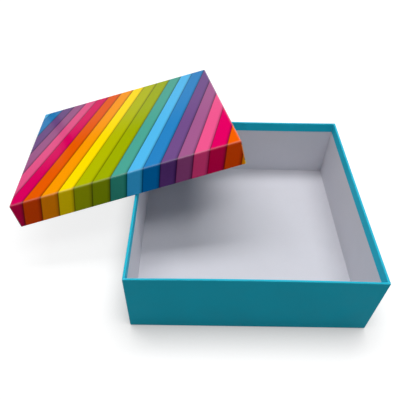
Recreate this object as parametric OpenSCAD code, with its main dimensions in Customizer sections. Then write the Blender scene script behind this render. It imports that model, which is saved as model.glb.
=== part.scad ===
// Rigid gift box in two pieces: a deep square base in teal paper, and a shallow lid in
// rainbow striped paper. The lid is off: its front skirt leans on the left rim of the base,
// its right skirt leans on the back rim, and its back left corner comes down to the floor.
// Origin at the centre of the underside of the base, X to the right, Y to the back, Z up.

/* [Base] */
// Width of the base over its wrap
base_w = 250; // [200:1:320]
// Depth of the base over its wrap
base_d = 250; // [200:1:320]
// Height of the base over its wrap
base_h = 85; // [60:1:110]
// Depth of the teal band that the wrap makes inside the rim
base_turn_in = 12.5; // [6:0.5:30]

/* [Lid] */
// Height of the lid over its wrap
lid_h = 29; // [22:0.5:45]
// Play between the closed lid and the base on each side
lid_play = 0.35; // [0.2:0.05:1.5]
// Depth of the band that the wrap makes inside the lid's skirt
lid_turn_in = 12; // [6:0.5:18]

/* [Board and papers] */
// Thickness of the greyboard
board_t = 1.8; // [1.2:0.1:3]
// Thickness of the wrapping papers
wrap_t = 0.2; // [0.15:0.05:0.4]
// Thickness of the white lining papers
lining_t = 0.15; // [0.1:0.05:0.3]
// Thickness of the glue film between any two of them
glue_t = 0.02; // [0.01:0.01:0.05]
// Radius of the board at its upright corners
board_r = 0.6; // [0.4:0.1:1.2]
// Slit between neighbouring walls of a folded board
board_slit = 0.3; // [0.1:0.05:0.6]

/* [Corner stays] */
// Width of each leg of a paper stay
stay_leg = 18; // [8:1:30]
// Thickness of the stays
stay_t = 0.15; // [0.1:0.05:0.3]
// Height of bare board left above and below a stay
stay_margin = 2; // [1:0.5:5]

/* [Stripes] */
// Width of one stripe, square across it
stripe_w = 17.7; // [10:0.1:40]
// Angle between the stripes and the lid's side edges
stripe_slant = 18.8; // [5:0.1:35]
// Distance from the lid's front left corner to the end of the first magenta stripe
stripe_start = 15; // [0:0.5:17]
// Width of the side skirts' paper that shows round the ends of the front and back skirts
tab_show = 1.2; // [0.8:0.1:3]

/* [Leaning lid] */
// Where its front skirt crosses the left rim, as a share of the lid's width
front_seat_share = 0.506; // [0.45:0.002:0.56]
// Where its right skirt crosses the back rim, as a share of the lid's depth
right_seat_share = 0.476; // [0.42:0.002:0.52]
// Room between the back left corner of the base and the ceiling of the lid
corner_clear = 1.5; // [0.8:0.1:4]
// Gap left under the lid at both rims and at the floor
seat_gap = 0.3; // [0.2:0.05:0.5]

/* [Hidden] */

// The four corners: name, side of the width, side of the depth
CORNERS = [
    ["front_left", -1, -1],
    ["front_right", 1, -1],
    ["back_left", -1, 1],
    ["back_right", 1, 1],
];

TEAL = "#1e8a9c";
GREYBOARD = "#a39d92";
LINING_WHITE = "#e4e5ea";
STAY_BROWN = "#c9b48d";
// One round of the rainbow, from the stripe that starts at the lid's front left corner
RAINBOW = [
    "#e5005f",
    "#ec6400",
    "#ff9800",
    "#ffe000",
    "#b0b800",
    "#9aad00",
    "#4aa896",
    "#52b8f0",
    "#2e86c8",
    "#754f8e",
    "#a85a92",
    "#ef5a8f",
];

// Depths from the outside to the board's two faces, to the lining, and through the bare ply
board_in = wrap_t + glue_t;
board_out = board_in + board_t;
lining_in = board_out + glue_t;
ply_t = lining_in + lining_t;
// Depths from the outside to the turned-in band, and through the wall with that band
band_in = ply_t + glue_t;
wall_t = band_in + wrap_t;
lid_w = base_w + 2 * (wall_t + lid_play);
lid_d = base_d + 2 * (wall_t + lid_play);
wrap_r = board_r + board_in;
// Length by which a cut runs past the piece that it opens
overrun = 1;

// Block over the origin from z0 to z1, with its upright edges rounded by r
module block(w, d, z0, z1, r = 0) {
    translate([0, 0, z0])
        linear_extrude(z1 - z0) {
            square([w - 2 * r, d], center = true);
            square([w, d - 2 * r], center = true);
            if (r > 0)
                for (x = [-1, 1], y = [-1, 1])
                    translate([x * (w / 2 - r), y * (d / 2 - r)])
                        circle(r = r, $fn = 32);
        }
}

// Every tray below opens upwards, with w, d and h measured over its wrap. This block is
// the tray's outline from z0 to z1, set in by a depth from the outside.
module inset(w, d, depth, z0, z1, r = 0) {
    block(w - 2 * depth, d - 2 * depth, z0, z1, r);
}

// A paper strip folded round one upright corner of the board, or with room round it the
// shallow bed that the board has for it
module stay_blank(w, d, h, side_x, side_y, room = 0) {
    leg = stay_leg + room;
    margin = stay_margin - room;
    intersection() {
        difference() {
            inset(w, d, board_in, board_in + margin, h - board_in - margin, board_r);
            inset(w, d, board_in + stay_t + room, 0, h, board_r - stay_t);
        }
        translate([side_x * (w / 2 - board_in), side_y * (d / 2 - board_in), 0])
            block(2 * leg, 2 * leg, 0, h);
    }
}

// Slits where the two side walls butt against the front and back walls
module board_slits(w, d, h) {
    for (x = [-1, 1], y = [-1, 1])
        translate([x * (w - board_t) / 2, y * (d / 2 - board_out - board_slit / 2), 0])
            block(board_t + 2 * board_in, board_slit, board_out, h);
}

// One sheet of greyboard, scored along its floor and folded up into four walls
module board_tray(w, d, h) {
    difference() {
        inset(w, d, board_in, board_in, h - board_in, board_r);
        inset(w, d, board_out, board_out, h);
        board_slits(w, d, h);
        for (corner = CORNERS)
            stay_blank(w, d, h, corner[1], corner[2], glue_t);
    }
}

// One sheet of paper round the outside of a tray, over its rim and down inside it
module wrap_tray(w, d, h, turn_in) {
    difference() {
        inset(w, d, 0, 0, h, wrap_r);
        difference() {
            inset(w, d, wrap_t, wrap_t, h - wrap_t, wrap_r - wrap_t);
            inset(w, d, band_in, h - turn_in, h);
        }
        inset(w, d, wall_t, wrap_t, h + overrun);
    }
}

// White paper over the floor and up the walls, under the turned-in band
module lining_tray(w, d, h) {
    difference() {
        inset(w, d, lining_in, lining_in, h - board_in);
        inset(w, d, ply_t, ply_t, h);
    }
}

// The stripes are straight on the flat sheet and run on over its folds. The sheet lies at
// (x, y) before it is folded, and each line between two stripes keeps s = x - stripe_run * y.
// On a skirt, u is the distance down from the fold.
stripe_run = tan(stripe_slant);
stripe_pitch = stripe_w / cos(stripe_slant);
fold_z = lid_h - wrap_t;
first_stripe = ceil((-fold_z - stripe_run * lid_d - stripe_start) / stripe_pitch);
last_stripe = ceil((lid_w + fold_z - stripe_start) / stripe_pitch);

// Places along each skirt where the line s is, at the distance u below the fold
function along_front(s, u) = s - stripe_run * u;
function along_back(s, u) = s + stripe_run * (lid_d + u);
function along_left(s, u) = -(s + u) / stripe_run;
function along_right(s, u) = (lid_w + u - s) / stripe_run;

// One stripe on an upright skirt, from its foot to the fold, as deep as the skirt is thick
module skirt_stripe(foot0, foot1, fold0, fold1) {
    linear_extrude(wall_t)
        polygon([[foot0, 0], [foot1, 0], [fold1, fold_z], [fold0, fold_z]]);
}

// The front and back skirts without their ends, where the side skirts' paper shows
module front_and_back() {
    for (y = [0, lid_d - wall_t])
        translate([tab_show, y, 0])
            cube([lid_w - 2 * tab_show, wall_t, fold_z]);
}

// Space that the stripe between the lines s0 and s1 takes on the top and the four skirts
module stripe_field(s0, s1) {
    back_shift = stripe_run * lid_d;
    translate([0, 0, fold_z])
        linear_extrude(wrap_t)
            polygon([[s0, 0], [s1, 0], [s1 + back_shift, lid_d], [s0 + back_shift, lid_d]]);
    intersection() {
        front_and_back();
        union() {
            translate([0, wall_t, 0])
                rotate([90, 0, 0])
                    skirt_stripe(
                        along_front(s0, fold_z), along_front(s1, fold_z),
                        along_front(s0, 0), along_front(s1, 0)
                    );
            translate([0, lid_d, 0])
                rotate([90, 0, 0])
                    skirt_stripe(
                        along_back(s0, fold_z), along_back(s1, fold_z),
                        along_back(s0, 0), along_back(s1, 0)
                    );
        }
    }
    difference() {
        union() {
            rotate([90, 0, 90])
                skirt_stripe(
                    along_left(s0, fold_z), along_left(s1, fold_z),
                    along_left(s0, 0), along_left(s1, 0)
                );
            translate([lid_w - wall_t, 0, 0])
                rotate([90, 0, 90])
                    skirt_stripe(
                        along_right(s0, fold_z), along_right(s1, fold_z),
                        along_right(s0, 0), along_right(s1, 0)
                    );
        }
        front_and_back();
    }
}

// The lid's own frame has its origin under the front left corner, at the foot of the skirts
module lid_frame() {
    translate([lid_w / 2, lid_d / 2, lid_h])
        mirror([0, 0, 1])
            children();
}

// Seats of the lid in its own frame: on the left rim, on the back rim and on the floor
front_seat = [front_seat_share * lid_w, wall_t];
right_seat = [lid_w - wall_t, right_seat_share * lid_d];
floor_seat = [0, lid_d];
seat_line = right_seat - front_seat;
seat_span = norm(seat_line);
seat_turn = atan2(seat_line.y, seat_line.x);
floor_reach = (floor_seat - front_seat) * [-seat_line.y, seat_line.x] / seat_span;
lean_tilt = asin(base_h / floor_reach);
// The lid turns until the base's back left corner has its room under the ceiling
corner_rise = lid_h - ply_t - corner_clear + seat_gap * cos(lean_tilt);
corner_reach = corner_rise / sin(lean_tilt);
lean_turn = 90 - asin(min(1, 2 * corner_reach / seat_span)) / 2;

// Carries the lid from its own frame to where it leans on the base
module leaning() {
    translate([-base_w / 2, base_d / 2 - seat_span * sin(lean_turn), base_h + seat_gap])
        rotate([0, 0, lean_turn])
            rotate([-lean_tilt, 0, 0])
                rotate([0, 0, -seat_turn])
                    translate([-front_seat.x, -front_seat.y, 0])
                        children();
}

module base_board() {
    color(GREYBOARD)
        board_tray(base_w, base_d, base_h);
}

module base_wrap() {
    color(TEAL)
        wrap_tray(base_w, base_d, base_h, base_turn_in);
}

module base_lining() {
    color(LINING_WHITE)
        lining_tray(base_w, base_d, base_h);
}

module base_stay(corner) {
    color(STAY_BROWN)
        stay_blank(base_w, base_d, base_h, corner[1], corner[2]);
}

module lid_board() {
    color(GREYBOARD)
        leaning()
            lid_frame()
                board_tray(lid_w, lid_d, lid_h);
}

module lid_wrap() {
    leaning()
        for (k = [first_stripe : last_stripe])
            color(RAINBOW[(k % len(RAINBOW) + len(RAINBOW)) % len(RAINBOW)])
                intersection() {
                    lid_frame()
                        wrap_tray(lid_w, lid_d, lid_h, lid_turn_in);
                    stripe_field(stripe_start + (k - 1) * stripe_pitch, stripe_start + k * stripe_pitch);
                }
}

module lid_lining() {
    color(LINING_WHITE)
        leaning()
            lid_frame()
                lining_tray(lid_w, lid_d, lid_h);
}

module lid_stay(corner) {
    color(STAY_BROWN)
        leaning()
            lid_frame()
                stay_blank(lid_w, lid_d, lid_h, corner[1], corner[2]);
}

base_board();
base_wrap();
base_lining();
lid_board();
lid_wrap();
lid_lining();
for (corner = CORNERS) {
    base_stay(corner);
    lid_stay(corner);
}
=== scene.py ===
# Rigid gift box in two pieces: a deep square base in teal paper and a shallow lid in rainbow
# striped paper. Every paper is one folded sheet with its real thickness, folds and laps. The
# lid is off and leans on the base's left and back rims and on the floor.
import math

import bmesh
import bpy
from bpy.props import FloatProperty, FloatVectorProperty, PointerProperty
from bpy.types import Operator, Panel, PropertyGroup
from mathutils import Matrix, Vector


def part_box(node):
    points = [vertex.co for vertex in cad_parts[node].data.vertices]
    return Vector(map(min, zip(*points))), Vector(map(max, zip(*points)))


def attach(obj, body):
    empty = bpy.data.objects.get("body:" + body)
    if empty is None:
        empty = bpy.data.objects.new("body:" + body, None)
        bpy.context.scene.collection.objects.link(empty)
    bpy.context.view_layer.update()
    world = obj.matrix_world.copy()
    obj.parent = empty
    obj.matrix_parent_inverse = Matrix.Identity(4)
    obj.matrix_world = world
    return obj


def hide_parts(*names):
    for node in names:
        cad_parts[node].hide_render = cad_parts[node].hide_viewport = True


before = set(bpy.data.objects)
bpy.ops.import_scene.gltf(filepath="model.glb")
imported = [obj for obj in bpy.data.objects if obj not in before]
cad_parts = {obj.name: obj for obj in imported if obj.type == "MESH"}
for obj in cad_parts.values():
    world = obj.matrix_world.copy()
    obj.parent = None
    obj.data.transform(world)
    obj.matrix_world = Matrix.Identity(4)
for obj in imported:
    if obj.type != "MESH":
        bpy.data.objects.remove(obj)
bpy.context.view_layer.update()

bl_info = {
    "name": "Rigid gift box",
    "version": (1, 0, 0),
    "blender": (4, 5, 0),
    "location": "View3D > Sidebar > Gift box",
    "description": "Builds the papers of a two-piece gift box round its boards, and its studio",
    "category": "Object",
}

MM = 0.001
QUARTER = math.pi / 2
WELD = 1e-7


def box_size(cad_node):
    lowest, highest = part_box(cad_node)
    return highest - lowest


BASE_SIZE = box_size("base_wrap")


def srgb(code):
    """Linear colour from a written #rrggbb colour."""
    parts = [int(code[i:i + 2], 16) / 255 for i in (1, 3, 5)]
    return tuple(p / 12.92 if p <= 0.04045 else ((p + 0.055) / 1.055) ** 2.4 for p in parts)


# Sizes, colours and studio settings


def length(name, description, millimetres):
    return FloatProperty(name=name, description=description, default=millimetres * MM,
                         min=0, precision=5, unit="LENGTH")


def share(name, description, default):
    return FloatProperty(name=name, description=description, default=default,
                         min=0, soft_max=1, subtype="FACTOR")


def colour(name, description, code):
    return FloatVectorProperty(name=name, description=description, default=srgb(code),
                               size=3, min=0, max=1, subtype="COLOR")


class BoxSizes(PropertyGroup):
    """Outer sizes of the base and the lid"""
    base_w: length("Base width", "Width of the base over its wrap", BASE_SIZE.x / MM)
    base_d: length("Base depth", "Depth of the base over its wrap", BASE_SIZE.y / MM)
    base_h: length("Base height", "Height of the base over its wrap", BASE_SIZE.z / MM)
    base_turn_in: length("Base band", "Depth of the wrap's band inside the rim", 12.5)
    lid_h: length("Lid height", "Height of the lid over its wrap", 29)
    lid_play: length("Lid play", "Play between the closed lid and the base", 0.35)
    lid_turn_in: length("Lid band", "Depth of the wrap's band inside the lid's skirt", 12)


class PaperSizes(PropertyGroup):
    """Thicknesses, folds and laps of the plies"""
    board_t: length("Board", "Thickness of the greyboard", 1.8)
    wrap_t: length("Wrap", "Thickness of the wrapping papers", 0.2)
    lining_t: length("Lining", "Thickness of the white lining papers", 0.15)
    glue_t: length("Glue", "Thickness of the glue film between two plies", 0.02)
    corner_r: length("Corner radius", "Radius of the wraps at the upright corners", 0.82)
    fold_r: length("Floor fold radius", "Radius of the teal wrap at the folds of the floor", 1.4)
    top_fold_r: length("Top fold radius", "Radius of the striped wrap at the folds of the top", 2.2)
    rim_r: length("Rim radius", "Radius of the wraps round the edge of the board", 0.6)
    lap_show: length("Lap", "Side skirts' paper that shows round the front and back ends", 1.2)
    lap_t: length("Lap step", "Step from the front and back papers down to the side papers", 0.09)


# Millimetres across each stripe of one rainbow, from magenta to pink
STRIPE_WIDTHS = (17.6, 18.8, 18.2, 16.3, 19.1, 18.9, 17.3, 16.6, 18.2, 17.3, 17.4, 16.7)


class StripeSizes(PropertyGroup):
    """The printed stripes on the flat sheet of the lid's wrap"""
    widths: FloatVectorProperty(
        name="Stripe widths", description="Width of each stripe, square across it, from magenta on",
        default=[width * MM for width in STRIPE_WIDTHS], size=len(STRIPE_WIDTHS),
        min=0.001, precision=5, unit="LENGTH")
    slant: FloatProperty(name="Slant", description="Angle of the stripes to the lid's side edges",
                         default=math.radians(19.1), subtype="ANGLE", unit="ROTATION")
    start: length("Start", "From the front left corner to the end of the first magenta", 15.25)
    shade_share: share("Shade width", "Share of a stripe that its printed shade takes", 0.22)
    shade_depth: share("Shade depth", "How dark the printed shade is at its stripe's edge", 0.85)
    # Painted shade: the skirts' print is made deeper than the top's, for the shade on them
    skirt_painted_shade: share("Skirt depth", "How much deeper the print is on the skirts", 0.1)


class LeanSizes(PropertyGroup):
    """How the lid leans on the base, and how the base's walls bow"""
    front_seat_share: share("Left seat", "Where the front skirt crosses the left rim", 0.506)
    right_seat_share: share("Back seat", "Where the right skirt crosses the back rim", 0.476)
    corner_clear: length("Corner room", "Room from the base's corner to the lid's ceiling", 1.5)
    seat_gap: length("Seat gap", "Gap left under the lid at the rims and the floor", 0.3)
    rim_bow: length("Rim bow", "How far the middle of each rim leans into the base", 1.2)


class PaperColours(PropertyGroup):
    """Colours of the print, the papers and the board"""
    magenta: colour("Magenta", "First stripe", "#da005e")
    orange: colour("Orange", "Second stripe", "#e95b00")
    amber: colour("Amber", "Third stripe", "#fb9a00")
    yellow: colour("Yellow", "Fourth stripe", "#ffde00")
    lime: colour("Lime", "Fifth stripe", "#b2b800")
    olive: colour("Olive", "Sixth stripe", "#9dac00")
    sea_green: colour("Sea green", "Seventh stripe", "#4aa392")
    sky: colour("Sky", "Eighth stripe", "#50b6ea")
    blue: colour("Blue", "Ninth stripe", "#2780c0")
    violet: colour("Violet", "Tenth stripe", "#6e4b86")
    mauve: colour("Mauve", "Eleventh stripe", "#9e588a")
    pink: colour("Pink", "Twelfth stripe", "#e65389")
    teal: colour("Teal", "Wrap of the base", "#1cbcd8")
    lining: colour("Lining", "White lining paper", "#d7d7de")
    greyboard: colour("Greyboard", "Bare board under the papers", "#a39d92")
    stay: colour("Stay", "Brown paper stays at the corners", "#c9b48d")


RAINBOW = ("magenta", "orange", "amber", "yellow", "lime", "olive",
           "sea_green", "sky", "blue", "violet", "mauve", "pink")


class StudioSettings(PropertyGroup):
    """Strengths of the lamps and of the light from the room"""
    height: length("Lamp height", "Height of the two strip lamps over the floor", 950)
    front_lamp: share("Front lamp", "Light on a level sheet from the lamp at the front", 0.235)
    back_lamp: share("Back lamp", "Light on a level sheet from the lamp at the back", 0.65)
    fill: share("Fill", "Light from all round the room", 0.17)
    reflector: share("Reflector", "Light from a low white board in front of the box", 0.5)
    back_wall: share("Back wall", "Light from the bright wall behind the box", 1.5)
    floor_tone: share("Floor tone", "How much light the floor throws back on the box", 0.4)


class GiftBoxSettings(PropertyGroup):
    """All the settings of the box and its studio"""
    box: PointerProperty(type=BoxSizes)
    paper: PointerProperty(type=PaperSizes)
    stripes: PointerProperty(type=StripeSizes)
    lean: PointerProperty(type=LeanSizes)
    colours: PointerProperty(type=PaperColours)
    studio: PointerProperty(type=StudioSettings)


# The papers as folded sheets, and the boards that follow them


class Plies:
    """Depths through a wall from the outside, and the lid's size, as the boards have them."""

    def __init__(self, settings):
        box, paper = settings.box, settings.paper
        self.wrap = paper.wrap_t
        self.board_in = paper.wrap_t + paper.glue_t
        self.lining_in = self.board_in + paper.board_t + paper.glue_t
        self.lining = self.lining_in + paper.lining_t
        self.band_in = self.lining + paper.glue_t
        self.wall = self.band_in + paper.wrap_t
        self.base = Vector((box.base_w, box.base_d, box.base_h))
        grown = 2 * (self.wall + box.lid_play)
        self.lid = Vector((box.base_w + grown, box.base_d + grown, box.lid_h))


def leaning(settings):
    """Matrix from the lid's own frame, with its origin at the foot of the front left corner,
    to where the lid leans on the base."""
    lean, plies = settings.lean, Plies(settings)
    base, lid = plies.base, plies.lid
    front_seat = Vector((lean.front_seat_share * lid.x, plies.wall))
    right_seat = Vector((lid.x - plies.wall, lean.right_seat_share * lid.y))
    floor_seat = Vector((0, lid.y))
    seat_line = right_seat - front_seat
    span = seat_line.length
    across = Vector((-seat_line.y, seat_line.x)) / span
    tilt = math.asin(base.z / (floor_seat - front_seat).dot(across))
    corner_rise = lid.z - plies.lining - lean.corner_clear + lean.seat_gap * math.cos(tilt)
    corner_reach = corner_rise / math.sin(tilt)
    turn = QUARTER - math.asin(min(1, 2 * corner_reach / span)) / 2
    place = Matrix.Translation((-base.x / 2, base.y / 2 - span * math.sin(turn),
                                base.z + lean.seat_gap))
    seat_turn = math.atan2(seat_line.y, seat_line.x)
    return (place @ Matrix.Rotation(turn, 4, "Z") @ Matrix.Rotation(-tilt, 4, "X")
            @ Matrix.Rotation(-seat_turn, 4, "Z")
            @ Matrix.Translation((-front_seat.x, -front_seat.y, 0)))


class Row:
    """One line of points round a tray: how deep it lies in the wall, its height over the
    plate's outer face, how far along the flat sheet it is from the plate's fold, its corner
    radius, its lap step, and how much it is a fold."""

    def __init__(self, depth, height, run, radius=0.0, lap=0.0, fold=0.0):
        self.depth, self.height, self.run = depth, height, run
        self.radius, self.lap, self.fold = radius, lap, fold


FACE_STEPS = 20
CORNER_STEPS = 6
SUPPORT = 0.5 * MM


def face_places(half):
    """Places along one face from -half to half, with one close to each end so that the
    flat keeps its shading."""
    inner = half - SUPPORT
    middle = [inner * (2 * i / FACE_STEPS - 1) for i in range(FACE_STEPS + 1)]
    return [-half] + middle + [half]


def corner_points(centre, radius, start):
    for i in range(CORNER_STEPS + 1):
        angle = start + QUARTER * i / CORNER_STEPS
        yield centre.x + radius * math.cos(angle), centre.y + radius * math.sin(angle)


def ring(size, row, lap_show):
    """Points of a row, anticlockwise from the left end of the front face."""
    a, b = size.x / 2 - row.depth, size.y / 2 - row.depth
    b_lap = b - row.lap
    half = a - lap_show
    cx, cy = a - row.radius, b_lap - row.radius
    front = face_places(half)
    points = [(-half, -b_lap)] + [(x, -b) for x in front] + [(half, -b_lap)]
    points += corner_points(Vector((cx, -cy)), row.radius, -QUARTER)
    points += [(a, y) for y in face_places(cy)[1:-1]]
    points += corner_points(Vector((cx, cy)), row.radius, 0)
    points += [(half, b_lap)] + [(-x, b) for x in front] + [(-half, b_lap)]
    points += corner_points(Vector((-cx, cy)), row.radius, QUARTER)
    points += [(-a, -y) for y in face_places(cy)[1:-1]]
    points += corner_points(Vector((-cx, -cy)), row.radius, 2 * QUARTER)
    return points


FRONT, RIGHT, BACK, LEFT = range(4)


def panels():
    """Panel of the sheet that each stretch between two points of a ring belongs to, and
    whether each point is in an upright corner."""
    face = FACE_STEPS + 2
    corner = CORNER_STEPS + 1
    plain = FACE_STEPS + 1
    stretches = [LEFT] + [FRONT] * face + [RIGHT] * (2 * corner + plain + 3)
    stretches += [BACK] * face + [LEFT] * (2 * corner + plain + 2)
    in_corner = [0.0] * (face + 3) + [1.0] * corner + [0.0] * plain + [1.0] * corner
    return stretches, in_corner * 2


class Sheet:
    """A sheet of paper folded round or into a tray, made row by row into one closed mesh
    with the flat sheet's coordinates as its texture map."""

    def __init__(self, size, lap_show):
        self.size, self.lap_show = size, lap_show
        self.mesh = bmesh.new()
        self.flat = self.mesh.loops.layers.uv.new("sheet")
        self.fold = self.mesh.verts.layers.float.new("fold")
        self.stretches, self.in_corner = panels()

    def _row(self, row):
        """The row's points as mesh points, each with its place on the flat sheet as part
        of the front or back panel and as part of a side panel."""
        points = ring(self.size, row, self.lap_show)
        count = len(points)
        made = []
        for index, (x, y) in enumerate(points):
            vert = self.mesh.verts.new((x, y, row.height))
            vert[self.fold] = max(row.fold, self.in_corner[index])
            made.append(vert)
        along = [y for x, y in points]

        def off_middle(index):
            x, y = points[index]
            return abs(y) + abs(self.size.x / 2 - abs(x))

        for panel, sign in ((RIGHT, 1), (LEFT, -1)):
            middle = min((i for i in range(count) if sign * points[i][0] > 0), key=off_middle)
            for way in (1, -1):
                place, index = points[middle][1], middle
                for _ in range(count):
                    follow = (index + way) % count
                    stretch = self.stretches[index if way > 0 else follow]
                    if stretch != panel:
                        break
                    step = math.dist(points[index], points[follow])
                    place += way * sign * step
                    along[follow] = place
                    index = follow
        return row, points, made, along

    def _flat(self, panel, row, point, along):
        width, depth = self.size.x, self.size.y
        if panel == FRONT:
            return point[0] + width / 2, -row.run
        if panel == BACK:
            return point[0] + width / 2, depth + row.run
        if panel == RIGHT:
            return width + row.run, along + depth / 2
        return -row.run, along + depth / 2

    def rows(self, rows):
        """Skins neighbouring rows with quads."""
        lines = [self._row(row) for row in rows]
        for line, following in zip(lines, lines[1:]):
            row0, points0, verts0, along0 = line
            row1, points1, verts1, along1 = following
            count = len(points0)
            for i in range(count):
                j = (i + 1) % count
                panel = self.stretches[i]
                face = self.mesh.faces.new((verts0[i], verts0[j], verts1[j], verts1[i]))
                places = (self._flat(panel, row0, points0[i], along0[i]),
                          self._flat(panel, row0, points0[j], along0[j]),
                          self._flat(panel, row1, points1[j], along1[j]),
                          self._flat(panel, row1, points1[i], along1[i]))
                for loop, place in zip(face.loops, places):
                    loop[self.flat].uv = place

    def plate(self, row):
        """Fills the flat plate inside a row that has sharp corners."""
        a, b = self.size.x / 2 - row.depth, self.size.y / 2 - row.depth
        xs = [-a] + face_places(a - self.lap_show) + [a]
        ys = face_places(b)
        grid = [[self.mesh.verts.new((x, y, row.height)) for x in xs] for y in ys]
        for low, high in zip(grid, grid[1:]):
            for quad in zip(low, low[1:], high[1:], high):
                face = self.mesh.faces.new(quad)
                for loop in face.loops:
                    x, y, _ = loop.vert.co
                    loop[self.flat].uv = (x + self.size.x / 2, y + self.size.y / 2)

    def finish(self, name, place, body, cad_node, slot, material, settle=None):
        """Closes the mesh and puts it in place of its CAD node."""
        bmesh.ops.remove_doubles(self.mesh, verts=self.mesh.verts, dist=WELD)
        bmesh.ops.recalc_face_normals(self.mesh, faces=self.mesh.faces)
        if settle:
            for vert in self.mesh.verts:
                vert.co = settle(vert.co)
        bmesh.ops.transform(self.mesh, matrix=place, verts=self.mesh.verts)
        if place.determinant() < 0:
            bmesh.ops.reverse_faces(self.mesh, faces=self.mesh.faces)
        return stand_in(self.mesh, name, body, cad_node, material)


SHARP_EDGE = math.radians(35)


def stand_in(mesh, name, body, cad_node, material):
    """Makes the finished mesh an object that rides on its body in place of a node."""
    for face in mesh.faces:
        face.smooth = True
    for edge in mesh.edges:
        edge.smooth = len(edge.link_faces) == 2 and edge.calc_face_angle() < SHARP_EDGE
    data = bpy.data.meshes.new(name)
    mesh.to_mesh(data)
    mesh.free()
    data.materials.append(material)
    piece = bpy.data.objects.new(name, data)
    bpy.context.scene.collection.objects.link(piece)
    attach(piece, body)
    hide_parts(cad_node)
    return piece


FOLD_STEPS, RIM_STEPS, WALL_STEPS, BAND_STEPS = 8, 5, 10, 4
BAND_FOLD = 0.8 * MM
BAND_CORNER = 0.35 * MM
CUT_EDGE = 0.06 * MM
FOLD_ENDS = 0.3


def arc_rows(count):
    """Sine, cosine and share of each step of a quarter turn, after its first."""
    for i in range(1, count + 1):
        angle = QUARTER * i / count
        yield math.sin(angle), math.cos(angle), i / count


def spaced(first, last, steps):
    return [first + (last - first) * i / steps for i in range(steps + 1)]


def crease(part):
    """How much each part of a bend is its fold: wholly at the middle, less at the ends."""
    return 1 - (1 - FOLD_ENDS) * abs(2 * part - 1)


def wrap_rows(plies, paper, height, turn_in, fold_r):
    """Rows of a wrap from the edge of its plate over the rim to the edge of its band, and
    back along the glued face to the plate."""
    rim_r, corner_r, lap = paper.rim_r, paper.corner_r, paper.lap_t
    wall, wrap = plies.wall, plies.wrap

    def corner(depth):
        return corner_r + (BAND_CORNER - corner_r) * depth / wall

    outer = [Row(fold_r + SUPPORT, 0, -fold_r - SUPPORT),
             Row(fold_r, 0, -fold_r, fold=FOLD_ENDS)]
    for sine, cosine, part in arc_rows(FOLD_STEPS):
        outer.append(Row(fold_r * (1 - sine), fold_r * (1 - cosine), fold_r * (2 * part - 1),
                         corner_r * sine, lap * sine, crease(part)))
    outer += [Row(0, z, z, corner_r, lap)
              for z in spaced(fold_r + SUPPORT, height - rim_r - SUPPORT, WALL_STEPS)]
    outer.append(Row(0, height - rim_r, height - rim_r, corner_r, lap, FOLD_ENDS))
    for sine, cosine, part in arc_rows(RIM_STEPS):
        depth = rim_r * (1 - cosine)
        outer.append(Row(depth, height - rim_r * (1 - sine), height + rim_r * (2 * part - 1),
                         corner(depth), lap * cosine, crease(part)))
    depth = wall - BAND_FOLD
    outer.append(Row(depth, height, height + depth, corner(depth), 0, FOLD_ENDS))
    for sine, cosine, part in arc_rows(RIM_STEPS):
        depth = wall - BAND_FOLD * (1 - sine)
        outer.append(Row(depth, height - BAND_FOLD * (1 - cosine),
                         height + wall + BAND_FOLD * (2 * part - 1), corner(depth), 0,
                         crease(part)))
    band_end = height - turn_in
    outer += [Row(wall, z, height + wall + (height - z), BAND_CORNER)
              for z in spaced(height - BAND_FOLD - SUPPORT, band_end + CUT_EDGE, BAND_STEPS)]
    run = height + wall + turn_in
    outer.append(Row(wall - CUT_EDGE, band_end, run, BAND_CORNER, 0, 1))
    outer.append(Row(plies.band_in, band_end, run, BAND_CORNER))

    glued = [Row(plies.band_in, height - wrap, run, BAND_CORNER),
             Row(wrap, height - wrap, height, corner_r - wrap)]
    glued += [Row(wrap, z, z, corner_r - wrap) for z in (height / 2, fold_r)]
    reach = fold_r - wrap
    for sine, cosine, part in arc_rows(FOLD_STEPS):
        glued.append(Row(fold_r - reach * cosine, fold_r - reach * sine,
                         fold_r * (1 - 2 * part), (corner_r - wrap) * cosine))
    glued.append(Row(fold_r + SUPPORT, wrap, -fold_r - SUPPORT))
    return outer + glued


def lining_rows(plies, height):
    """Rows of a lining from the edge of its visible plate up its walls, and back."""
    cove_r, corner_r, lap, cove_fold = 0.6 * MM, 0.5 * MM, 0.05 * MM, 0.6
    face, back = plies.lining, plies.lining_in
    top = height - plies.board_in
    plate_end = cove_r + SUPPORT
    rows = [Row(face + plate_end, face, -plate_end), Row(face + cove_r, face, -cove_r)]
    for sine, cosine, part in arc_rows(RIM_STEPS):
        rows.append(Row(face + cove_r * (1 - sine), face + cove_r * (1 - cosine),
                        cove_r * (2 * part - 1), corner_r * sine, -lap * sine, cove_fold))
    rows += [Row(face, z, z - face, corner_r, -lap)
             for z in spaced(face + plate_end, top, WALL_STEPS)]
    rows.append(Row(back, top, top, corner_r))
    rows += [Row(back, z, z, corner_r) for z in (height / 2, back)]
    rows.append(Row(face + plate_end, back, -plate_end))
    return rows


def lay_sheet(size, rows, lap_show):
    """A closed sheet from its rows, with a plate at the first and at the last of them."""
    sheet = Sheet(size, lap_show)
    sheet.rows(rows)
    sheet.plate(rows[0])
    sheet.plate(rows[-1])
    return sheet


def lid_place(settings):
    """From a tray that opens upwards, centred on the origin, to the leaning lid."""
    lid = Plies(settings).lid
    turned = Matrix.Translation((lid.x / 2, lid.y / 2, lid.z)) @ Matrix.Scale(-1, 4, (0, 0, 1))
    return leaning(settings) @ turned


SIDE_BOW_SHARE = 0.35
BOW_CURVE = 1.5


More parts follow.
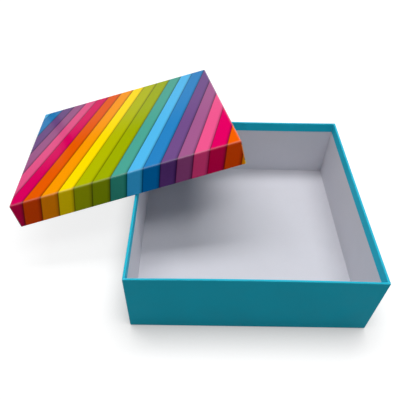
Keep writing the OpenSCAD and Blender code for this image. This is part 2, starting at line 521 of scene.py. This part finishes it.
def bowed(settings):
    """The base's walls lean in a little towards the middle of the rim."""
    box, bow = settings.box, settings.lean.rim_bow
    side_bow = SIDE_BOW_SHARE * bow
    a, b = box.base_w / 2, box.base_d / 2
    near = 5 * MM

    def settle(point):
        rise = max(0, point.z / box.base_h) ** BOW_CURVE
        shift = Vector((0, 0, 0))
        if abs(point.y) > b - near:
            shift.y = -math.copysign(bow * rise * max(0, 1 - (point.x / a) ** 2), point.y)
        if abs(point.x) > a - near:
            shift.x = -math.copysign(side_bow * rise * max(0, 1 - (point.y / b) ** 2), point.x)
        return point + shift

    return settle


def rounded(size, outer_r, skin):
    """Presses a board's sharp outer fold into the arc that its wrap takes."""
    inner_r = outer_r - skin

    def settle(point):
        depth = min(size.x / 2 - abs(point.x), size.y / 2 - abs(point.y))
        out, down = outer_r - depth, outer_r - point.z
        reach = math.hypot(out, down)
        if out <= 0 or down <= 0 or reach <= inner_r:
            return point.copy()
        depth = outer_r - out * inner_r / reach
        x = math.copysign(min(abs(point.x), size.x / 2 - depth), point.x)
        y = math.copysign(min(abs(point.y), size.y / 2 - depth), point.y)
        return Vector((x, y, outer_r - down * inner_r / reach))

    return settle


HALF_WALL_CUTS, RISE_CUTS = 12, 6


def cuts_of(size, outer_r, walls):
    """Planes that a board is cut along, so that it can bend and round: each axis with the
    distances from its middle, or from the plate for the height."""
    near = [outer_r * part for part in (0.2, 0.35, 0.5, 0.7, 1.0)]
    spread = [i / HALF_WALL_CUTS for i in range(1 - HALF_WALL_CUTS, HALF_WALL_CUTS)]
    rises = [size.z * i / RISE_CUTS for i in range(1, RISE_CUTS)]
    for axis in (0, 1):
        half = size[axis] / 2
        at_folds = [side * (half - depth) for depth in near for side in (1, -1)]
        yield axis, ([half * part for part in spread] if walls else []) + at_folds
    yield 2, near + (rises if walls else [])


def fitted_copy(settings, cad_node, name, body, material, size, place, bow=None):
    """A copy of a board or stay that follows its wrap: rounded at the outer fold and, in the
    base, bowed with the walls."""
    mesh = bmesh.new()
    mesh.from_mesh(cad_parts[cad_node].data)
    bmesh.ops.transform(mesh, matrix=place.inverted(), verts=mesh.verts)
    outer_r = settings.paper.fold_r if body == "base" else settings.paper.top_fold_r
    for axis, distances in cuts_of(size, outer_r, bow is not None):
        normal = Vector([1.0 if i == axis else 0.0 for i in range(3)])
        for distance in distances:
            bmesh.ops.bisect_plane(mesh, geom=mesh.verts[:] + mesh.edges[:] + mesh.faces[:],
                                   plane_co=normal * distance, plane_no=normal, dist=WELD)
    round_off = rounded(size, outer_r, Plies(settings).board_in)
    for vert in mesh.verts:
        vert.co = round_off(vert.co)
        if bow:
            vert.co = bow(vert.co)
    bmesh.ops.transform(mesh, matrix=place, verts=mesh.verts)
    return stand_in(mesh, name, body, cad_node, material)


# Finishes of the papers and boards


def node(tree, kind, inputs=None, **settings):
    """A new shader node, with its inputs joined to sockets or set to values."""
    made = tree.nodes.new("ShaderNode" + kind)
    for key, value in settings.items():
        setattr(made, key, value)
    for key, value in (inputs or {}).items():
        if isinstance(value, bpy.types.NodeSocket):
            tree.links.new(value, made.inputs[key])
        else:
            made.inputs[key].default_value = value
    return made


def sum_up(tree, operation, *values, clamp=False):
    """Result of one step of arithmetic on numbers or sockets."""
    made = node(tree, "Math", dict(enumerate(values)), operation=operation, use_clamp=clamp)
    return made.outputs[0]


def reckon(tree, operation, *values):
    """Result of one step of arithmetic on vectors or colours."""
    made = node(tree, "VectorMath", dict(enumerate(values)), operation=operation)
    return made.outputs[0]


def blend(tree, factor, first, second, mode="MIX"):
    """Two colours mixed by a factor."""
    made = node(tree, "Mix", {0: factor, 6: first, 7: second}, data_type="RGBA", blend_type=mode)
    return made.outputs[2]


def ramp(tree, value, stops, interpolation="LINEAR"):
    """Colours or greys along a value, from stops that each give a place and a shade."""
    made = node(tree, "ValToRGB", {0: value})
    band = made.color_ramp
    band.interpolation = interpolation
    while len(band.elements) < len(stops):
        band.elements.new(0.5)
    for element, (place, _) in zip(band.elements, stops):
        element.position = place
    for element, (_, shade) in zip(band.elements, stops):
        tone = tuple(shade) if hasattr(shade, "__len__") else (shade,) * 3
        element.color = tone + (1,)
    return made.outputs[0]


def noise(tree, place, scale, detail=2.0, roughness=0.5):
    made = node(tree, "TexNoise", {"Vector": place, "Scale": scale, "Detail": detail,
                                   "Roughness": roughness})
    return made.outputs[0]


def in_millimetres(tree, place):
    made = node(tree, "VectorMath", {0: place, 3: 1 / MM}, operation="SCALE")
    return made.outputs[0]


def finish(name, tone):
    """An empty material with its shader and output."""
    material = bpy.data.materials.new(name)
    material.use_nodes = True
    material.diffuse_color = tuple(tone) + (1,)
    tree = material.node_tree
    tree.nodes.clear()
    shader = node(tree, "BsdfPrincipled")
    node(tree, "OutputMaterial", {"Surface": shader.outputs[0]})
    return material, tree, shader


def surface(tree, shader, paint, roughness, gloss):
    """Gives a finish its colour, its roughness, as a number or a map, and its gloss."""
    tree.links.new(paint, shader.inputs["Base Color"])
    if isinstance(roughness, bpy.types.NodeSocket):
        tree.links.new(roughness, shader.inputs["Roughness"])
    else:
        shader.inputs["Roughness"].default_value = roughness
    shader.inputs["Specular IOR Level"].default_value = gloss


def relief(tree, shader, height, strength, distance):
    """Fine unevenness of a face."""
    bump = node(tree, "Bump", {"Height": height, "Strength": strength, "Distance": distance})
    tree.links.new(bump.outputs[0], shader.inputs["Normal"])


def flat_place(tree):
    """Place on the flat sheet, in millimetres."""
    return in_millimetres(tree, node(tree, "UVMap", uv_map="sheet").outputs[0])


def solid_place(tree):
    """Place in the solid board or stay, in millimetres."""
    return in_millimetres(tree, node(tree, "TexCoord").outputs["Object"])


def beyond_plate(tree, parts, size):
    """Mask of the sheet's parts that fold down from its plate."""
    sides = []
    for axis in (0, 1):
        half = size[axis] / 2 / MM
        out = sum_up(tree, "ABSOLUTE", sum_up(tree, "SUBTRACT", parts[axis], half))
        sides.append(sum_up(tree, "SUBTRACT", out, half))
    return sum_up(tree, "MAXIMUM", *sides, clamp=True)


# The fold crests get a painted highlight; the spots beside them are rubbed wear
CREST_HIGHLIGHT = 0.7
WORN_AND_HIGHLIT_PRINT = (0.86, 0.84, 0.8, 1)
WORN_AND_HIGHLIT_TEAL = (0.45, 0.78, 0.84, 1)


def fold_wear_and_highlight(tree, place, amount):
    """Where the folds are pale: a painted highlight along their crests, and rubbed wear in spots
    beside them.
    """
    fold = node(tree, "Attribute", attribute_name="fold").outputs["Fac"]
    spots = ramp(tree, noise(tree, place, 0.9, 4, 0.65), [(0.5, 0), (0.68, 1)])
    crest_highlight = sum_up(tree, "MULTIPLY", sum_up(tree, "POWER", fold, 4), CREST_HIGHLIGHT * amount)
    rubbed = sum_up(tree, "MULTIPLY", sum_up(tree, "MULTIPLY", fold, spots), amount)
    return sum_up(tree, "MAXIMUM", crest_highlight, rubbed)


# Painted shade taken off the skirts' print, so that it shows deeper and purer than the top's
SKIRT_PAINTED_SHADE_BLACK = 0.018


def striped_finish(settings):
    """Gloss laminated print: straight stripes, each with a printed shade along the edge
    where the next one seems to lie under it."""
    stripes, colours = settings.stripes, settings.colours
    material, tree, shader = finish("rainbow_print", colours.magenta)
    place = flat_place(tree)
    parts = node(tree, "SeparateXYZ", {0: place}).outputs
    ends = [width / math.cos(stripes.slant) / MM for width in stripes.widths]
    for i in range(1, len(ends)):
        ends[i] += ends[i - 1]
    period, many = ends[-1], len(RAINBOW)
    line = sum_up(tree, "MULTIPLY_ADD", parts[1], -math.tan(stripes.slant), parts[0])
    turn = sum_up(tree, "FRACT", sum_up(tree, "MULTIPLY_ADD", line, 1 / period,
                                        1 + (ends[0] - stripes.start / MM) / period))
    even = ramp(tree, turn, [(0, 0)] + [(end / period, (i + 1) / many)
                                        for i, end in enumerate(ends)])
    count = sum_up(tree, "MULTIPLY", even, many)
    tones = [(i / many, getattr(colours, tone)) for i, tone in enumerate(RAINBOW)]
    middle = sum_up(tree, "DIVIDE", sum_up(tree, "ADD", sum_up(tree, "FLOOR", count), 0.5), many)
    ink = ramp(tree, middle, tones, "CONSTANT")
    across = sum_up(tree, "FRACT", count)
    edge, dark = 1 - stripes.shade_share, 1 - stripes.shade_depth
    shade = ramp(tree, across, [(0, 0.35), (0.05, 1), (edge, 1),
                                ((1 + edge) / 2, 1 - 0.22 * (1 - dark)),
                                (0.965, 1 - 0.5 * (1 - dark)), (1, dark)])
    ink = blend(tree, 1.0, ink, shade, "MULTIPLY")
    mottle = ramp(tree, noise(tree, place, 0.35, 6, 0.7), [(0.3, 0.91), (0.7, 0.955)])
    ink = blend(tree, 1.0, ink, mottle, "MULTIPLY")
    # Painted shade: the print beyond the plate, on the skirts, is made deeper and darker
    deep = node(tree, "Gamma", {"Color": ink, "Gamma": 1 + stripes.skirt_painted_shade}).outputs[0]
    deep = reckon(tree, "SUBTRACT", deep, (SKIRT_PAINTED_SHADE_BLACK,) * 3)
    deep = reckon(tree, "MAXIMUM", deep)
    ink = blend(tree, beyond_plate(tree, parts, Plies(settings).lid), ink, deep)
    # Painted highlight along the fold crests, and rubbed wear in spots beside them
    ink = blend(tree, fold_wear_and_highlight(tree, place, 0.22), ink, WORN_AND_HIGHLIT_PRINT)
    rub = ramp(tree, noise(tree, place, 0.05, 5, 0.6), [(0.3, 0.05), (0.75, 0.08)])
    surface(tree, shader, ink, roughness=rub, gloss=0.02)
    relief(tree, shader, noise(tree, place, 0.12, 3), 0.03, 0.02 * MM)
    return material


def teal_finish(settings):
    """Plain dyed wrapping paper with a satin face."""
    colours = settings.colours
    material, tree, shader = finish("teal_satin", colours.teal)
    place = flat_place(tree)
    cloud = ramp(tree, noise(tree, place, 0.02, 4, 0.55), [(0.3, 0.93), (0.7, 1)])
    fibre = ramp(tree, noise(tree, place, 1.6, 5, 0.7), [(0.25, 0.95), (0.75, 1)])
    dye = blend(tree, 1.0, tuple(colours.teal) + (1,), cloud, "MULTIPLY")
    dye = blend(tree, 1.0, dye, fibre, "MULTIPLY")
    # Painted highlight along the fold crests, and rubbed wear in spots beside them
    dye = blend(tree, fold_wear_and_highlight(tree, place, 0.2), dye, WORN_AND_HIGHLIT_TEAL)
    rub = ramp(tree, noise(tree, place, 0.04, 4, 0.6), [(0.3, 0.42), (0.75, 0.54)])
    surface(tree, shader, dye, roughness=rub, gloss=0.04)
    relief(tree, shader, noise(tree, place, 1.2, 4, 0.65), 0.08, 0.02 * MM)
    return material


def lining_finish(settings):
    """Matt white paper with faint fibres."""
    colours = settings.colours
    material, tree, shader = finish("white_lining", colours.lining)
    place = flat_place(tree)
    cloud = ramp(tree, noise(tree, place, 0.03, 5, 0.6), [(0.3, 0.975), (0.7, 1)])
    stretched = reckon(tree, "MULTIPLY", place, (0.5, 4, 1))
    fibre = ramp(tree, noise(tree, stretched, 0.5, 6, 0.75), [(0.3, 0.965), (0.6, 1)])
    sheet = blend(tree, 1.0, tuple(colours.lining) + (1,), cloud, "MULTIPLY")
    sheet = blend(tree, 1.0, sheet, fibre, "MULTIPLY")
    surface(tree, shader, sheet, roughness=0.85, gloss=0.15)
    relief(tree, shader, noise(tree, stretched, 0.7, 5, 0.7), 0.2, 0.03 * MM)
    return material


def board_finish(settings):
    """Grey recycled board with flecks of darker and lighter fibre."""
    colours = settings.colours
    material, tree, shader = finish("grey_board", colours.greyboard)
    place = solid_place(tree)
    fleck = ramp(tree, noise(tree, place, 1.1, 6, 0.8), [(0.35, 0.72), (0.5, 0.95), (0.7, 1.1)])
    pulp = blend(tree, 1.0, tuple(colours.greyboard) + (1,), fleck, "MULTIPLY")
    surface(tree, shader, pulp, roughness=0.9, gloss=0.1)
    relief(tree, shader, noise(tree, place, 2.0, 5, 0.7), 0.4, 0.05 * MM)
    return material


def stay_finish(settings):
    """Brown gummed paper with long fibres."""
    colours = settings.colours
    material, tree, shader = finish("brown_stay", colours.stay)
    stretched = reckon(tree, "MULTIPLY", solid_place(tree), (3, 3, 0.4))
    fibre = ramp(tree, noise(tree, stretched, 0.8, 6, 0.75), [(0.3, 0.82), (0.6, 1)])
    kraft = blend(tree, 1.0, tuple(colours.stay) + (1,), fibre, "MULTIPLY")
    surface(tree, shader, kraft, roughness=0.75, gloss=0.2)
    relief(tree, shader, noise(tree, stretched, 1.0, 4, 0.7), 0.3, 0.03 * MM)
    return material


FINISHES = {"striped_paper": striped_finish, "teal_paper": teal_finish,
            "lining_paper": lining_finish, "greyboard": board_finish, "stay_paper": stay_finish}
finished = {}


def finish_for(settings, slot):
    """The slot's material, made once."""
    if slot not in finished:
        finished[slot] = FINISHES[slot](settings)
    return finished[slot]


# Operators that make the pieces and the studio


CORNERS = ("front_left", "front_right", "back_left", "back_right")


class GIFTBOX_OT_base_wrap(Operator):
    """Fold the teal wrap round the base, over its rim and into its band"""
    bl_idname = "giftbox.base_wrap"
    bl_label = "Base wrap"

    def execute(self, context):
        settings = context.scene.gift_box
        plies = Plies(settings)
        rows = wrap_rows(plies, settings.paper, plies.base.z, settings.box.base_turn_in,
                         settings.paper.fold_r)
        sheet = lay_sheet(plies.base, rows, settings.paper.lap_show)
        sheet.finish("teal_wrap", Matrix(), "base", "base_wrap", "teal_paper",
                     finish_for(settings, "teal_paper"), bowed(settings))
        return {"FINISHED"}


class GIFTBOX_OT_base_lining(Operator):
    """Lay the white lining into the base"""
    bl_idname = "giftbox.base_lining"
    bl_label = "Base lining"

    def execute(self, context):
        settings = context.scene.gift_box
        plies = Plies(settings)
        sheet = lay_sheet(plies.base, lining_rows(plies, plies.base.z), settings.paper.lap_show)
        sheet.finish("base_white_lining", Matrix(), "base", "base_lining", "lining_paper",
                     finish_for(settings, "lining_paper"), bowed(settings))
        return {"FINISHED"}


class GIFTBOX_OT_lid_wrap(Operator):
    """Fold the striped wrap round the lid, over its rim and into its band"""
    bl_idname = "giftbox.lid_wrap"
    bl_label = "Lid wrap"

    def execute(self, context):
        settings = context.scene.gift_box
        plies = Plies(settings)
        rows = wrap_rows(plies, settings.paper, plies.lid.z, settings.box.lid_turn_in,
                         settings.paper.top_fold_r)
        sheet = lay_sheet(plies.lid, rows, settings.paper.lap_show)
        sheet.finish("striped_wrap", lid_place(settings), "lid", "lid_wrap", "striped_paper",
                     finish_for(settings, "striped_paper"))
        return {"FINISHED"}


class GIFTBOX_OT_lid_lining(Operator):
    """Lay the white lining into the lid"""
    bl_idname = "giftbox.lid_lining"
    bl_label = "Lid lining"

    def execute(self, context):
        settings = context.scene.gift_box
        plies = Plies(settings)
        sheet = lay_sheet(plies.lid, lining_rows(plies, plies.lid.z), settings.paper.lap_show)
        sheet.finish("lid_white_lining", lid_place(settings), "lid", "lid_lining",
                     "lining_paper", finish_for(settings, "lining_paper"))
        return {"FINISHED"}


class GIFTBOX_OT_boards_and_stays(Operator):
    """Bow the base's board and stays with its papers, and finish those of the lid"""
    bl_idname = "giftbox.boards_and_stays"
    bl_label = "Boards and corner stays"

    def execute(self, context):
        settings = context.scene.gift_box
        plies, bow = Plies(settings), bowed(settings)
        board, stay = finish_for(settings, "greyboard"), finish_for(settings, "stay_paper")
        fitted_copy(settings, "base_board", "base_greyboard", "base", board,
                    plies.base, Matrix(), bow)
        fitted_copy(settings, "lid_board", "lid_greyboard", "lid", board,
                    plies.lid, lid_place(settings))
        for corner in CORNERS:
            fitted_copy(settings, "base_stay_" + corner, "base_paper_stay_" + corner, "base",
                        stay, plies.base, Matrix(), bow)
            fitted_copy(settings, "lid_stay_" + corner, "lid_paper_stay_" + corner, "lid",
                        stay, plies.lid, lid_place(settings))
        return {"FINISHED"}


LAMP_AIM = Vector((0, 0, 0.04))


def strip_lamp(name, place, size, level):
    """A strip lamp that lights a level sheet under it to the given share of white."""
    data = bpy.data.lights.new(name, "AREA")
    data.shape = "RECTANGLE"
    data.size, data.size_y = size
    reach = place - LAMP_AIM
    data.energy = level * math.pi ** 2 * reach.length ** 4 / reach.z ** 2
    lamp = bpy.data.objects.new(name, data)
    lamp.location = place
    lamp.rotation_euler = reach.to_track_quat("Z", "Y").to_euler()
    lamp.visible_camera = False
    bpy.context.scene.collection.objects.link(lamp)


FLOOR_HALF = 30
FLOOR_PAINT = (0.3, 0.3, 0.3, 1)
CONTACT_REACH = 0.04
# The floor's own glow by how open it is, from under the box to clear of it; dimmer near the box, a
# painted contact shadow
CONTACT_SHADOW_GLOW = [(0.4, 0.32), (0.9, 0.76), (1, 0.82)]
# What the haze adds to the glow, by half the distance from the box in metres
HAZE_GLOW = [(0.25, 0), (0.75, 0.2)]


def studio_floor(settings):
    """A wide pale floor that shows as white to the eye and keeps the box's shadow, with a painted
    contact shadow in its glow next to the box.
    """
    mesh = bmesh.new()
    bmesh.ops.create_grid(mesh, x_segments=8, y_segments=8, size=FLOOR_HALF)
    data = bpy.data.meshes.new("studio_floor")
    mesh.to_mesh(data)
    mesh.free()
    floor = bpy.data.objects.new("studio_floor", data)
    bpy.context.scene.collection.objects.link(floor)
    material = bpy.data.materials.new("studio_floor")
    material.use_nodes = True
    tree = material.node_tree
    tree.nodes.clear()
    path = node(tree, "LightPath").outputs
    seen = sum_up(tree, "MAXIMUM", path["Is Camera Ray"],
                  sum_up(tree, "MAXIMUM", path["Is Glossy Ray"], path["Is Transmission Ray"]))
    tone = settings.studio.floor_tone
    paint = blend(tree, seen, (tone, tone, tone, 1), FLOOR_PAINT)
    matt = node(tree, "BsdfDiffuse", {"Color": paint}).outputs[0]
    # Painted contact shadow: the floor's glow is dimmed where the box is near
    open_air = node(tree, "AmbientOcclusion", {"Distance": CONTACT_REACH}, samples=16)
    soft = ramp(tree, open_air.outputs["AO"], CONTACT_SHADOW_GLOW)
    place = node(tree, "TexCoord").outputs["Object"]
    away = node(tree, "VectorMath", {0: place}, operation="LENGTH").outputs["Value"]
    haze = ramp(tree, sum_up(tree, "MULTIPLY", away, 0.5), HAZE_GLOW)
    soft = sum_up(tree, "ADD", soft, haze)
    glow = node(tree, "Emission", {"Strength": sum_up(tree, "MULTIPLY", seen, soft)}).outputs[0]
    both = node(tree, "AddShader", {0: matt, 1: glow}).outputs[0]
    node(tree, "OutputMaterial", {"Surface": both})
    data.materials.append(material)


# What the gloss mirrors, by slope: a white wall low behind the box and a dark room above it
WALL_LEAN = -0.35
MIRRORED_WALL = [(0.21, 0.78), (0.255, 0.02)]
# A dark pole before the wall, by how far a ray is from its bearing, and the wall's step there
POLE_BEARING = 0.52
MIRRORED_POLE = [(0.009, 0), (0.016, 1)]
WALL_STEP = -0.05
# Heights over which the light from the boards before and behind the box fades out
REFLECTOR_FADE = [(0.2, 1), (0.3, 0)]
BACK_WALL_FADE = [(0.5, 1), (0.65, 0)]


def studio_room(settings):
    """Even fill light, white behind the box and dim overhead where the gloss mirrors it."""
    world = bpy.data.worlds.new("studio_room")
    bpy.context.scene.world = world
    world.use_nodes = True
    tree = world.node_tree
    tree.nodes.clear()
    path = node(tree, "LightPath").outputs
    way = node(tree, "TexCoord").outputs["Generated"]
    parts = node(tree, "SeparateXYZ", {0: way}).outputs
    slope = sum_up(tree, "MULTIPLY_ADD", parts[0], WALL_LEAN, parts[2])
    bearing = sum_up(tree, "ADD", sum_up(tree, "DIVIDE", parts[0], parts[1]), POLE_BEARING)
    beyond = sum_up(tree, "MULTIPLY", bearing, -20, clamp=True)
    slope = sum_up(tree, "MULTIPLY_ADD", beyond, WALL_STEP, slope)
    wall = ramp(tree, slope, MIRRORED_WALL)
    pole = ramp(tree, sum_up(tree, "ABSOLUTE", bearing), MIRRORED_POLE)
    mirrored = blend(tree, 1.0, wall, pole, "MULTIPLY")
    studio = settings.studio
    before = sum_up(tree, "MULTIPLY", sum_up(tree, "MULTIPLY", parts[1], -1, clamp=True),
                    ramp(tree, parts[2], REFLECTOR_FADE))
    behind = sum_up(tree, "MULTIPLY", parts[1], ramp(tree, parts[2], BACK_WALL_FADE), clamp=True)
    lit = sum_up(tree, "MULTIPLY_ADD", before, studio.reflector, studio.fill)
    lit = sum_up(tree, "MULTIPLY_ADD", behind, studio.back_wall, lit)
    air = blend(tree, path["Is Glossy Ray"], lit, mirrored)
    seen = sum_up(tree, "MAXIMUM", path["Is Camera Ray"], path["Is Transmission Ray"])
    air = blend(tree, seen, air, (1, 1, 1, 1))
    background = node(tree, "Background", {"Color": air, "Strength": 1.0}).outputs[0]
    node(tree, "OutputWorld", {"Surface": background})


# Each strip lamp's name, how far right it is in metres and how far back in shares of its
# height, and its size
FRONT_STRIP = ("front_strip", (0.16, -0.21), (0.7, 0.16))
BACK_STRIP = ("back_strip", (-0.04, 0.27), (1.08, 0.24))
CAMERA_PLACE = (-0.05945, -0.34905, 0.4262)
CAMERA_TURN = (43.701, -1.39, 0.172)
CAMERA_LENS, CAMERA_SENSOR = 39.19, 36
CAMERA_SHIFT = (-0.0029, 0.0035)


class GIFTBOX_OT_studio(Operator):
    """Set the floor, the lamps, the room and the camera"""
    bl_idname = "giftbox.studio"
    bl_label = "Studio"

    def execute(self, context):
        settings = context.scene.gift_box
        studio = settings.studio
        studio_floor(settings)
        studio_room(settings)
        for strip, level in ((FRONT_STRIP, studio.front_lamp), (BACK_STRIP, studio.back_lamp)):
            name, (right, back), size = strip
            strip_lamp(name, Vector((right, back * studio.height, studio.height)), size, level)
        data = bpy.data.cameras.new("camera")
        data.sensor_width, data.lens = CAMERA_SENSOR, CAMERA_LENS
        data.shift_x, data.shift_y = CAMERA_SHIFT
        camera = bpy.data.objects.new("camera", data)
        camera.location = CAMERA_PLACE
        camera.rotation_euler = [math.radians(angle) for angle in CAMERA_TURN]
        context.scene.collection.objects.link(camera)
        context.scene.camera = camera
        context.scene.view_settings.view_transform = "Standard"
        return {"FINISHED"}


OPERATORS = (GIFTBOX_OT_base_wrap, GIFTBOX_OT_base_lining, GIFTBOX_OT_lid_wrap,
             GIFTBOX_OT_lid_lining, GIFTBOX_OT_boards_and_stays, GIFTBOX_OT_studio)
GROUPS = (BoxSizes, PaperSizes, StripeSizes, LeanSizes, PaperColours, StudioSettings)


class GIFTBOX_PT_sidebar(Panel):
    """All the settings, and a button for each piece"""
    bl_idname = "GIFTBOX_PT_sidebar"
    bl_label = "Gift box"
    bl_space_type = "VIEW_3D"
    bl_region_type = "UI"
    bl_category = "Gift box"

    def draw(self, context):
        layout = self.layout
        settings = context.scene.gift_box
        for name in ("box", "paper", "stripes", "lean", "colours", "studio"):
            group = getattr(settings, name)
            column = layout.box().column(align=True)
            column.label(text=name.capitalize())
            for key in group.__annotations__:
                column.prop(group, key)
        for operator in OPERATORS:
            layout.operator(operator.bl_idname)


CLASSES = GROUPS + (GiftBoxSettings,) + OPERATORS + (GIFTBOX_PT_sidebar,)


def register():
    for each in CLASSES:
        bpy.utils.register_class(each)
    bpy.types.Scene.gift_box = PointerProperty(type=GiftBoxSettings)


def unregister():
    del bpy.types.Scene.gift_box
    for each in reversed(CLASSES):
        bpy.utils.unregister_class(each)


def main():
    register()
    bpy.ops.giftbox.studio()
    bpy.ops.giftbox.base_wrap()
    bpy.ops.giftbox.base_lining()
    bpy.ops.giftbox.lid_wrap()
    bpy.ops.giftbox.lid_lining()
    bpy.ops.giftbox.boards_and_stays()


if __name__ == "__main__":
    main()
